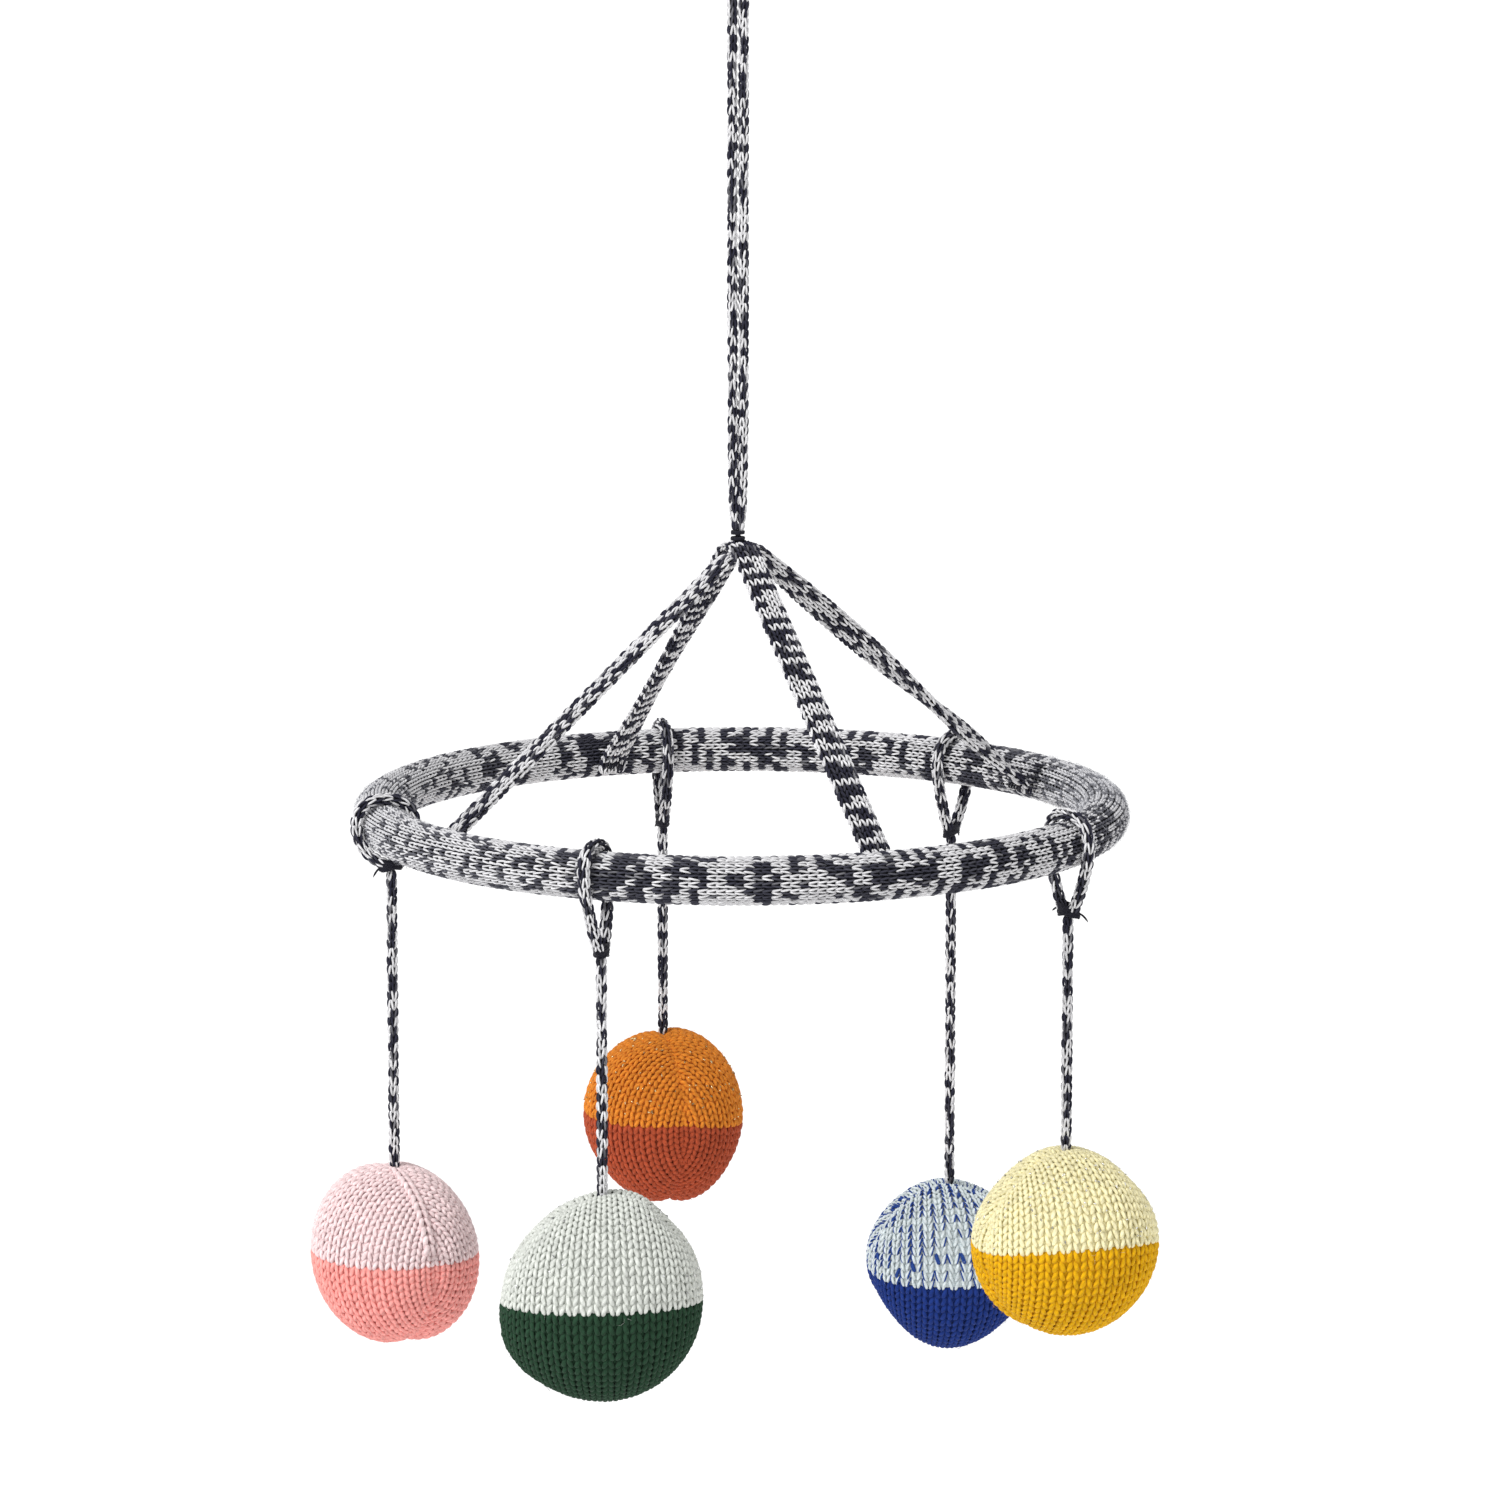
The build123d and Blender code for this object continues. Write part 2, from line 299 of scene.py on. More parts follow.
def build(name, groups, materials):
    """One object of these groups of tubes, with its bake map and a map that follows each yarn."""
    wide = [g for g in groups if g["count"] == 1]
    many = sum(g["count"] for g in groups if g["count"] > 1)
    grid = max(1, math.ceil(math.sqrt(many)))
    share = 0.84 if many and wide else (1.0 if many else 0.0)
    corner, totals, bake, yarn, slots = [], [], [], [], []
    offset, cell, strip = 0, 0, 0
    for g in groups:
        index = np.arange(g["count"])
        if g["count"] > 1:
            place = cell + index
            origin = np.stack([place % grid, place // grid], 1) / grid * [1, share]
            size = np.array([1, share]) / grid * 0.84
            cell += g["count"]
        else:
            height = (1 - share) / len(wide)
            origin = np.array([[0.004, share + strip * height + 0.004]])
            size = np.array([0.992, height - 0.008])
            strip += 1
        for faces, uv in g["faces"]:
            if faces.shape[1] == 0:
                continue
            per = faces.shape[2]
            corner.append((faces + offset).reshape(-1))
            totals.append(np.full(faces.shape[0] * faces.shape[1], per))
            bake.append((origin[:, None, None] + size * uv[None]).reshape(-1, 2))
            along = uv[None, ..., 0] * g["lengths"][:, None, None] / MM + g["offsets"][:, None, None]
            around = uv[None, ..., 1] + 0 * along
            yarn.append(np.stack([along, around], -1).reshape(-1, 2))
            slots.append(np.full(faces.shape[0] * faces.shape[1], g["material"]))
        offset += len(g["points"])
    points = np.concatenate([g["points"] for g in groups])
    colours = np.concatenate([g["colours"] for g in groups])
    corner, totals = np.concatenate(corner), np.concatenate(totals)
    starts = np.concatenate([[0], np.cumsum(totals)[:-1]])
    mesh = bpy.data.meshes.new(name)
    mesh.vertices.add(len(points))
    mesh.vertices.foreach_set("co", points.astype(np.float32).ravel())
    mesh.loops.add(len(corner))
    mesh.loops.foreach_set("vertex_index", corner.astype(np.int32))
    mesh.polygons.add(len(totals))
    mesh.polygons.foreach_set("loop_start", starts.astype(np.int32))
    mesh.polygons.foreach_set("material_index", np.concatenate(slots).astype(np.int32))
    mesh.polygons.foreach_set("use_smooth", np.ones(len(totals), bool))
    mesh.update(calc_edges=True)
    for label, values in (("OFBake", bake), ("yarn", yarn)):
        layer = mesh.uv_layers.new(name=label)
        layer.data.foreach_set("uv", np.concatenate(values).astype(np.float32).ravel())
    tint = mesh.attributes.new("tint", "FLOAT_COLOR", "POINT")
    rgba = np.concatenate([colours, np.ones((len(colours), 1))], 1)
    tint.data.foreach_set("color", rgba.astype(np.float32).ravel())
    for material in materials:
        mesh.materials.append(material)
    piece = bpy.data.objects.new(name, mesh)
    bpy.context.scene.collection.objects.link(piece)
    return piece


def thread(paths, radius, colour, sides=6, material=0):
    """Round threads along these paths, (thread, point, 3), with tapered ends."""
    paths = np.asarray(paths, float)
    tangent = unit(np.gradient(paths, axis=1))
    spread = paths.max(1) - paths.min(1)
    guide = np.eye(3)[np.argmin(spread, axis=1)][:, None, :] + 0 * tangent
    side = unit(np.cross(tangent, guide + 0.31 * np.array([0.2, 0.3, 0.5])))
    up = np.cross(side, tangent)
    turn = 2 * math.pi * np.arange(sides) / sides
    girth = np.full(paths.shape[1] - 2, 1.0)
    girth[0] = girth[-1] = 0.65
    across = np.cos(turn)[:, None] * side[:, 1:-1, None] + np.sin(turn)[:, None] * up[:, 1:-1, None]
    rings = paths[:, 1:-1, None] + radius * girth[None, :, None, None] * across
    tips = np.stack([paths[:, 0], paths[:, -1]], 1)
    length = np.linalg.norm(np.diff(paths, axis=1), axis=2).sum(1)
    return tubes(rings, tips, colour, length, material=material)


# ---------------------------------------------------------------------------- knitting


def stitch_legs(surface, course, wale, colours, rng, knit, strand=(0.0, 1.0, 0.0)):
    """Both legs of each stitch. surface(course, wale, lift) gives points, colours is (stitch, 2, 3), and
    strand sets a second yarn beside the first by its place in wales, its girth and its lift."""
    count = len(course)
    thickness = knit["thickness"]
    side = np.tile([-1.0, 1.0], count)[:, None]
    course = np.repeat(course + rng.normal(0, UNEVEN["course"], count), 2)[:, None]
    wale = np.repeat(wale + rng.normal(0, UNEVEN["wale"], count), 2)[:, None]
    swell = rng.normal(1, UNEVEN["girth"], (2 * count, 1))
    along = course + LEG_ALONG * (1 + rng.normal(0, UNEVEN["length"], (2 * count, 1)))
    lean = knit["foot"] + (knit["head"] - knit["foot"]) * LEG_LEAN
    across = wale + side * (lean + strand[0] + rng.normal(0, UNEVEN["reach"], (2 * count, 1)))
    lift = (LEG_LIFT + rng.normal(0, UNEVEN["lift"], (2 * count, 1)) + strand[2]) * thickness
    centre = surface(along, across, lift)
    outward = unit(surface(along, across, lift + 0.0004) - centre)
    tangent = unit(np.gradient(centre, axis=1))
    beside = unit(np.cross(tangent, outward))
    upward = np.cross(beside, tangent)
    turn = 2 * math.pi * (np.arange(knit["sides"]) + 0.5) / knit["sides"]
    girth = swell[:, :, None] * LEG_GIRTH[None, :, None]
    half_width = knit["wale"] * knit["girth"] * strand[1] / 2 * girth
    half_thick = thickness * (0.4 + 0.6 * strand[1]) * girth
    rings = centre[:, 1:-1, None, :] + (
        (half_width * np.cos(turn))[..., None] * beside[:, 1:-1, None, :]
        + (half_thick * np.sin(turn))[..., None] * upward[:, 1:-1, None, :]
    )
    length = np.linalg.norm(np.diff(centre, axis=1), axis=2).sum(1)
    shade = rng.normal(1, UNEVEN["shade"], (2 * count, 1))
    tint = np.clip(colours.reshape(-1, 3) * shade, 0, 1)
    return tubes(rings, centre[:, [0, -1]], tint, length, rng.uniform(0, 40, 2 * count))


def round_outline(radius):
    """The outline of a round cord: its points and outward directions, by share of the way round."""
    def outline(share):
        turn = 2 * math.pi * share
        direction = np.stack([np.cos(turn), np.sin(turn)], -1)
        return radius * direction, direction
    return outline


def flat_outline(width, thickness):
    """The outline of a flattened knitted band, its wider side along the section's second axis."""
    turn = np.linspace(0, 2 * math.pi, 721)
    squareness = 2 / 2.6    # between an ellipse's 1 and a rectangle's 0
    x = thickness / 2 * np.sign(np.cos(turn)) * np.abs(np.cos(turn)) ** squareness
    y = width / 2 * np.sign(np.sin(turn)) * np.abs(np.sin(turn)) ** squareness
    reach = np.concatenate([[0], np.cumsum(np.hypot(np.diff(x), np.diff(y)))])
    reach /= reach[-1]
    normal = unit(np.stack([x / thickness**2, y / width**2], -1))

    def outline(share):
        share = share % 1.0
        place = np.stack([np.interp(share, reach, x), np.interp(share, reach, y)], -1)
        direction = [np.interp(share, reach, normal[:, 0]), np.interp(share, reach, normal[:, 1])]
        return place, unit(np.stack(direction, -1))
    return outline


def swept(path, binormal, outline, taper=None, roll=None):
    """The surface of an outline carried along a path that lies in a plane: f(distance, share, lift)."""
    distance = np.concatenate([[0], np.cumsum(np.linalg.norm(np.diff(path, axis=0), axis=1))])
    forward = unit(np.gradient(path, distance, axis=0))
    binormal = np.array(binormal, float)

    def surface(s, share, lift):
        centre = np.stack([np.interp(s, distance, path[:, k]) for k in range(3)], -1)
        tangent = unit(np.stack([np.interp(s, distance, forward[:, k]) for k in range(3)], -1))
        end = np.clip(s - distance[-1], 0, None) + np.clip(s, None, 0)
        centre = centre + end[..., None] * tangent
        normal = unit(np.cross(binormal + 0 * tangent, tangent))
        side = np.cross(tangent, normal)
        if roll is not None:
            turn = roll(s / distance[-1])[..., None]
            cosine, sine = np.cos(turn), np.sin(turn)
            normal, side = cosine * normal + sine * side, cosine * side - sine * normal
        place, direction = outline(share)
        if taper is not None:
            place = place * taper(np.minimum(s, distance[-1] - s))[..., None]
        place = place + direction * lift[..., None]
        return centre + place[..., :1] * normal + place[..., 1:] * side
    return surface, distance[-1]


def yarn_runs(count, rng, navy_run, white_run):
    """Colours of this many legs in a row along a yarn that is dyed in uneven runs of navy and white."""
    blend = np.zeros(count)
    k, dark = 0, True
    while k < count:
        typical, spread = navy_run if dark else white_run
        run = max(2, int(round(typical * math.exp(rng.normal(0, spread)))))
        blend[k : k + run] = 0 if dark else 1
        k += run
        dark = not dark
    stray = rng.random(count) < 0.16
    blend[stray] = blend[stray] * 0.72 + rng.uniform(0.04, 0.24, stray.sum())
    blend = np.clip(blend + rng.normal(0, 0.02, count), 0, 1)[:, None]
    return (1 - blend) * np.array(NAVY) + blend * np.array(WHITE)


def backing_tube(surface, length, depth, colour, rows, sides=16, closed=False):
    """The closed inner face of a knitted tube, just under its stitches."""
    s = np.linspace(0, length, rows, endpoint=not closed)[:, None]
    share = -np.arange(sides)[None, :] / sides
    rings = surface(s + 0 * share, share + 0 * s, np.full((rows, sides), -depth))[None]
    if closed:
        return tubes(rings, None, colour, length, closed=True)
    middle = rings[0].mean(1)
    tips = np.stack([middle[0], middle[-1]])[None]
    return tubes(rings, tips, colour, length)


def knit_tube(name, surface, length, wales, kind, seed, runs, twist=0.0, soften=None, split=1):
    """A knitted tube with courses along its length: one piece, or several along it."""
    rng = np.random.default_rng(seed)
    rows = round(length / kind["course"])
    course = length / rows
    colours = yarn_runs(2 * rows * wales, rng, *runs).reshape(-1, 2, 3)
    row, column = np.divmod(np.arange(rows * wales), wales)

    def knit(u, v, lift):
        return surface((u + 0.2) * course, v / wales + twist * (u * course), lift)

    if soften is not None:
        colours = soften((row + 0.5) / rows, colours)
    pieces = []
    for part in range(split):
        held = (row * split // rows) == part
        u, v = row[held].astype(float), column[held].astype(float)
        groups = [stitch_legs(knit, u, v, colours[held], rng, kind)]
        if split == 1:
            # the inner face takes the near-black painted shade of the gaps between the stitches
            groups.append(backing_tube(surface, length, 1.5 * kind["thickness"], BACKING_SHADE, max(2 * rows, 8)))
        label = name if split == 1 else f"{name}_{part + 1}"
        pieces.append(build(label, groups, [melange]))
    return pieces


# ---------------------------------------------------------------------------- materials


def node(tree, kind, inputs=(), **values):
    """A node with these inputs, each a number, a vector or a socket, and these settings."""
    made = tree.nodes.new(kind)
    for key, value in values.items():
        setattr(made, key, value)
    for key, value in dict(inputs).items():
        if isinstance(value, bpy.types.NodeSocket):
            tree.links.new(value, made.inputs[key])
        else:
            made.inputs[key].default_value = value
    return made


def maths(tree, operation, *values):
    return node(tree, "ShaderNodeMath", enumerate(values), operation=operation).outputs[0]


def noise(tree, place, scale, detail, roughness):
    inputs = {"Vector": place, "Scale": scale, "Detail": detail, "Roughness": roughness}
    return node(tree, "ShaderNodeTexNoise", inputs).outputs["Fac"]


def spread(tree, value, low, high, to_low, to_high):
    """Carries the range from low to high over to another one."""
    inputs = {"Value": value, "From Min": low, "From Max": high, "To Min": to_low, "To Max": to_high}
    return node(tree, "ShaderNodeMapRange", inputs).outputs[0]


def new_material(name, **inputs):
    """A material whose shader has these inputs, its node tree and its place on the object."""
    material = bpy.data.materials.new(name)
    material.use_nodes = True
    shader = material.node_tree.nodes["Principled BSDF"]
    for key, value in inputs.items():
        shader.inputs[key.replace("_", " ")].default_value = value
    place = node(material.node_tree, "ShaderNodeTexCoord").outputs["Object"]
    return material, material.node_tree, place


def finish_material(tree, colour, height, strength, distance):
    """Joins the colour and the relief to the shader."""
    shader = tree.nodes["Principled BSDF"]
    tree.links.new(colour, shader.inputs["Base Color"])
    bump = node(tree, "ShaderNodeBump", {"Height": height, "Strength": strength, "Distance": distance})
    tree.links.new(bump.outputs["Normal"], shader.inputs["Normal"])


def yarn_material(name, roughness=0.88, sheen=0.06, ply=2.0, pitch=2.6, fibre=0.30, metallic=0.0):
    """Plied, slightly hairy yarn in the colours of the piece's own stitches. pitch is the twist of its
    plies in millimetres."""
    material, tree, place = new_material(
        name, Roughness=roughness, Metallic=metallic, Sheen_Weight=sheen, Sheen_Roughness=0.45,
        Specular_IOR_Level=0.12,
    )
    tint = node(tree, "ShaderNodeAttribute", attribute_name="tint").outputs["Color"]
    yarn = node(tree, "ShaderNodeUVMap", uv_map="yarn").outputs["UV"]
    split = node(tree, "ShaderNodeSeparateXYZ", {0: yarn})
    along = maths(tree, "MULTIPLY", split.outputs["X"], 2 * math.pi / pitch)
    around = maths(tree, "MULTIPLY_ADD", split.outputs["Y"], 2 * math.pi * ply, along)
    twist = maths(tree, "SINE", around)
    hairs = noise(tree, place, 2600.0, 3.0, 0.65)
    # painted shade and highlight: the colour darkens in the grooves between the plies and lightens a little
    # on their crests
    groove = spread(tree, twist, -1.0, 1.0, 0.86, 1.04)
    fleece = spread(tree, hairs, 0.25, 0.75, 0.80, 1.16)
    wash = spread(tree, noise(tree, place, 260.0, 2.0, 0.5), 0.3, 0.7, 0.92, 1.06)
    shade = maths(tree, "MULTIPLY", maths(tree, "MULTIPLY", groove, fleece), wash)
    colour = node(tree, "ShaderNodeVectorMath", {0: tint, "Scale": shade}, operation="SCALE").outputs[0]
    finish_material(tree, colour, maths(tree, "MULTIPLY_ADD", twist, 0.35, hairs), fibre, 0.0004)
    return material


def plain_material(name, low, high, scale, roughness, metallic=0.0, relief=0.0003, stretch=(1, 1, 1)):
    """A material whose colour and relief both follow one noise, for what isn't knitted."""
    material, tree, place = new_material(name, Roughness=roughness, Metallic=metallic)
    place = node(tree, "ShaderNodeMapping", {"Vector": place, "Scale": stretch}).outputs["Vector"]
    grain = noise(tree, place, scale, 5.0, 0.6)
    ramp = node(tree, "ShaderNodeValToRGB", {"Fac": grain})
    for element, position, colour in zip(ramp.color_ramp.elements, (0.35, 0.65), (low, high)):
        element.position = position
        element.color = (*colour, 1)
    finish_material(tree, ramp.outputs["Color"], grain, 0.4, relief)
    return material


# ---------------------------------------------------------------------------- ring, straps, cords


def finish_piece(piece, body, slot, *nodes):
    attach(piece, body)
    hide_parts(*nodes)


def hump(value, middle, width):
    """1 at the middle value and nothing far from it."""
    return np.exp(-(((value - middle) / width) ** 2))


def hump_at(azimuth, middle, width):
    """The same round the ring, in degrees."""
    return hump((azimuth - middle + 180) % 360 - 180, 0, width)


def make_ring():
    """The ring's knitted cover in six pieces, and its inner face."""
    thickness = RING_KNIT["thickness"]
    around = round_outline(TUBE_RADIUS - 1.3 * thickness)

    def surface(s, share, lift):
        angle = s / RING_RADIUS
        place, direction = around(share)
        place = place + direction * lift[..., None]
        reach = RING_RADIUS + place[..., 0]
        return np.stack([reach * np.cos(angle), reach * np.sin(angle), RING_Z + place[..., 1]], -1)

    def soften(share, colours):
        """The yarn's runs are short at the ring's two sides, and its colours are drawn towards a light grey,
        most of all there.
        """
        right, left = hump_at(360 * share, 8, 26), hump_at(360 * share, 196, 42)
        fine = np.random.default_rng(12)
        short = yarn_runs(2 * len(share), fine, *BRUSHED_RUNS).reshape(-1, 2, 3)
        chosen = fine.random(len(share)) < 0.25 + 0.55 * right + 0.72 * left
        colours = np.where(chosen[:, None, None], short, colours)
        mix = (0.04 + 0.36 * right + 0.20 * left)[:, None, None]
        return (1 - mix) * colours + mix * np.array([0.43, 0.435, 0.47])

    length = 2 * math.pi * RING_RADIUS
    pieces = knit_tube("ring_knit", surface, length, 20, RING_KNIT, 11, RING_RUNS, soften=soften, split=6)
    # the inner face takes the near-black painted shade of the gaps between the stitches
    inner = backing_tube(surface, length, 1.5 * thickness, BACKING_SHADE, 360, 40, closed=True)
    inside = build("ring_knit_inside", [inner], [melange])
    pieces.append(inside)
    pieces.append(brushed_fibres(surface))
    for piece in pieces:
        finish_piece(piece, "ring", "melange_knit", "ring_cover")


def stray_fibres(rng, shape, reach, rise):
    """How fine fibres wander over a surface, with the limits of their reach and of their rise."""
    t = np.linspace(0, 1, 5)[None, :]
    reach = rng.uniform(*reach, shape)
    turn = rng.uniform(0, 2 * math.pi, shape) + rng.normal(0, 0.9, shape) * t
    rise = rng.uniform(*rise, shape) * np.sin(math.pi * t * 0.75)
    return reach * t * np.cos(turn), reach * t * np.sin(turn), rise


def brushed_fibres(surface):
    """Fine fibres that stand up where the ring's cover is brushed, at its two sides."""
    rng = np.random.default_rng(13)
    azimuth = np.radians(np.concatenate([rng.normal(8, 14, 2300), rng.normal(184, 15, 1300)]))[:, None]
    share = rng.random(azimuth.shape)
    x, y, rise = stray_fibres(rng, azimuth.shape, (0.0015, 0.0045), (0.0004, 0.0012))
    along = azimuth * RING_RADIUS + x
    around = share + y / (2 * math.pi * TUBE_RADIUS)
    fibres = thread(surface(along, around, 0.0004 + rise), 0.00005, (0.52, 0.53, 0.57), sides=3)
    return build("ring_fibres", [fibres], [melange])


def make_straps():
    """The two knitted straps that cross at the apex, each with a slow twist in its longer runs."""
    layer = APEX_Z - STRAP_THICKNESS / 2
    thickness = STRAP_KNIT["thickness"]

    def roll_over(share):
        return math.radians(-30) * hump(share, 0.80, 0.16)

    def roll_under(share):
        return math.radians(48) * hump(share, 0.34, 0.13) - math.radians(42) * hump(share, 0.11, 0.08)

    for seed, (name, strap), roll in zip((21, 22), STRAPS.items(), (roll_over, roll_under)):
        outline = flat_outline(strap["width"] - 2.2 * thickness, STRAP_THICKNESS - 2 * thickness)
        path = strap_route(f"{name}_route", strap, layer)
        surface, length = swept(path, -radial(strap["azimuth"])[1], outline, roll=roll)
        piece = knit_tube(f"{name}_knit", surface, length, 8, STRAP_KNIT, seed, strap["runs"])[0]
        finish_piece(piece, "ring", "melange_knit", name)
        layer = layer - STRAP_THICKNESS - 0.0001


def cord_taper(end_share, reach):
    """Draws a cord in over this distance at its ends."""
    def taper(distance):
        t = np.clip(distance / reach, 0, 1)
        return end_share + (1 - end_share) * t * t * (3 - 2 * t)
    return taper


def make_cord(name, path, binormal, diameter, seed, body, taper=None):
    """A knitted cord along its path. A loop's knitting is stretched open over the ring."""
    swell = 1.1 if "loop" in name else 1.0
    outline = round_outline(swell * diameter / 2 - 1.1 * CORD_KNIT["thickness"])
    surface, length = swept(path, binormal, outline, taper)
    piece = knit_tube(f"{name}_knit", surface, length, 4, CORD_KNIT, seed, CORD_RUNS, twist=2.2)[0]
    finish_piece(piece, body, "melange_knit", name)


def make_cords():
    path = hanging_cord_route()
    make_cord("hanging_cord", path, (0, 1, 0), HANGING_CORD_DIAMETER, 31, "hanger", cord_taper(0.46, 0.009))
    for seed, (colour, ball) in enumerate(BALLS.items(), 40):
        path = loop_route(colour, ball)
        across = radial(ball["azimuth"] + ball.get("slant", 0))[1]
        make_cord(f"{colour}_loop", path, across, CORD_DIAMETER, seed, f"{colour}_loop")
        path = drop_cord_route(colour, ball)
        across = radial(ball["azimuth"])[1]
        make_cord(f"{colour}_drop_cord", path, across, CORD_DIAMETER, seed + 10, f"{colour}_cord",
                  cord_taper(0.60, 0.003))


# ---------------------------------------------------------------------------- threads


def wrap(centre, width, depth, height, turns, radius, slant, out, along):
    """A thread wound round a flattened bundle: the points of an oval helix in the bundle's own axes."""
    t = np.linspace(0, 1, int(turns * 20) + 1)
    angle = 2 * math.pi * turns * t
    wobble = 1 + 0.05 * np.sin(7.3 * angle / turns)
    x = (width / 2 - radius) * np.cos(angle) * wobble
    y = (depth / 2 - radius) * np.sin(angle) * wobble
    z = height * (t - 0.5) + slant * x
    return centre + x[:, None] * out + y[:, None] * along + z[:, None] * np.array([0, 0, 1.0])


def tail(start, direction, length, bend):
    """The loose end of a thread, curving down."""
    t = np.linspace(0, 1, 9)[:, None]
    start, direction, bend = (np.array(v, float) for v in (start, direction, bend))
    return start + length * t * direction + length * t**2 * bend


def wound_thread(name, body, coils, ends, radius):
    """A wrap of dark thread: its coils, and short lengths of thread with a radius of their own."""
    groups = [thread(coil[None], radius, THREAD) for coil in coils]
    groups += [thread(path[None], end_radius, THREAD) for path, end_radius in ends]
    finish_piece(build(f"{name}_thread", groups, [dark_thread]), body, "dark_thread", name)


def make_bindings():
    """The dark thread that binds each loop: two layers of turns and two short loose ends."""
    up = np.array([0, 0, 1.0])
    radius = 0.00052
    for index, (colour, ball) in enumerate(BALLS.items()):
        out, along = radial(ball["azimuth"])
        centre = arm(ball["azimuth"], [(0, 0, -ball["binding_drop"])])[0]
        height = ball.get("binding_height", 0.0044)
        slant = 0.22 if index % 2 else -0.22
        coils = [
            wrap(centre, 0.0098, 0.0050, height, 6.5, radius, slant, out, along),
            wrap(centre, 0.0090, 0.0056, 0.8 * height, 4.5, radius, -slant, out, along),
        ]
        right, left = centre + 0.0038 * out - 0.0010 * up, centre - 0.0036 * out + 0.0008 * up
        ends = [
            (tail(right, out + 0.4 * along, 0.004, -0.9 * up), 0.0004),
            (tail(left, -out - 0.5 * along, 0.0026, -0.6 * up), 0.0004),
        ]
        wound_thread(f"{colour}_binding", f"{colour}_loop", coils, ends, radius)


def make_apex_threads():
    """The whipping that pinches the cord's two strands, and under it the stitches that sew them on, with
    five short ones through their middle."""
    x, y = np.array([1.0, 0, 0]), np.array([0, 1.0, 0])
    radius = 0.00048
    whipping = (0.0056, 0.0048, 0.0011, 2.6), (0.0050, 0.0042, 0.0010, 2.0)
    stitching = (0.0058, 0.0052, 0.0009, 2.6), (0.0040, 0.0036, 0.0008, 2.2)
    t = np.linspace(0, 1, 7)[:, None]
    for name, body, height, slant, sizes, middle in (
        ("cord_whipping", "whipping", 0.0031, 0.02, whipping, ()),
        ("apex_stitching", "stitching", 0.0008, 0.03, stitching, (20, 92, 164, 236, 308)),
    ):
        centre = np.array([APEX_LEAN, 0, APEX_Z + height])
        coils = [wrap(centre, *size, radius, tilt, x, y) for size, tilt in zip(sizes, (slant, -slant))]
        feet = [centre + 0.0007 * radial(azimuth)[0] for azimuth in middle]
        ends = [(foot + t * np.array([0, 0, 0.0018]), 0.00042) for foot in feet]
        wound_thread(name, body, coils, ends, radius)


def stitch_arc(azimuth, start, end, bulge):
    """A stitch between two places by the tube at this azimuth, bowed towards the ring's middle."""
    t = np.linspace(0, 1, 9)[:, None]
    start, end = np.array(start), np.array(end)
    return arm(azimuth, start + t * (end - start) - bulge * np.sin(math.pi * t) * np.array([1.0, 0, 0]))


def make_strap_stitches():
    """Slanted stitches across the end of each strap, and the longer ones that show beside two of them."""
    arcs = []
    over, under = (strap["azimuth"] for strap in STRAPS.values())
    for strap in STRAPS.values():
        for half_turn, end in zip((0, 180), strap["ends"]):
            for k in range(5):
                start = np.array([-0.0140, (k - 2) * 0.0019, 0.0042 - end])
                finish = start + [0, 0.0014, -0.0030]
                arcs.append(stitch_arc(strap["azimuth"] + half_turn, start, finish, 0.0012))
    for k in range(9):
        height = 0.0078 - 0.0011 * k
        skin = -math.sqrt(TUBE_RADIUS**2 - height**2)
        start = (skin - 0.0030, -0.0024, height)
        end = (skin + 0.0002, -0.0080 - 0.0006 * (k % 3), height + 0.0016 * (k % 2 - 0.5))
        arcs.append(stitch_arc(under, start, end, 0.0014))
    arcs.append(stitch_arc(over, (-0.0090, 0.0050, 0.0040), (-0.0036, 0.0135, 0.0084), 0.0006))
    arcs.append(stitch_arc(over, (-0.0085, 0.0048, 0.0050), (-0.0040, 0.0105, 0.0083), 0.0008))
    groups = [thread(np.array(arcs), 0.00042, THREAD)]
    piece = build("strap_stitches_thread", groups, [dark_thread])
    finish_piece(piece, "ring", "dark_thread", "strap_stitches")


# ---------------------------------------------------------------------------- balls


# The seams' groove in the stuffing: its depth, what is added to it under the ball, and its width as a
# share of the ball's half thickness.
SEAM_GROOVE = 0.0016
SEAM_GROOVE_BELOW = 0.0010
SEAM_WIDTH = 0.075

# The cloth of a stuffing, its size before it swells and how far it may move.
CLOTH = dict(
    use_pressure=True, uniform_pressure_force=2000, mass=0.001, tension_stiffness=5, compression_stiffness=5,
    shear_stiffness=1.7, bending_stiffness=0.01, vertex_group_mass="seam", quality=6,
)
CLOTH_START = 0.993
CLOTH_STEPS = 20
CLOTH_REACH = 0.0016


def direction_of(azimuth, elevation):
    """The direction, or the directions, at this azimuth and elevation in radians."""
    level = np.cos(elevation)
    return np.stack([level * np.cos(azimuth), level * np.sin(azimuth), np.sin(elevation)], -1)


def stuffing_swell(directions, ball, half):
    """How far the stuffing stands from a true ellipsoid, as a share, in these local directions."""
    turn = math.radians(ball["width_azimuth"])
    c, s = math.cos(turn), math.sin(turn)
    x, y, z = directions.T
    world = np.stack([c * x - s * y, s * x + c * y, z], 1)
    swell = np.zeros(len(directions))
    for azimuth, elevation, height, spread in ball["lumps"]:
        lump = direction_of(math.radians(azimuth), math.radians(elevation))
        angle = np.arccos(np.clip(world @ lump, -1, 1))
        swell += height * MM * np.exp(-((angle / math.radians(spread)) ** 2))
    groove = SEAM_GROOVE + SEAM_GROOVE_BELOW * np.clip(-z, 0, 1) ** 3
    swell -= groove * np.exp(-((y / SEAM_WIDTH) ** 2))
    return swell / np.mean(half)


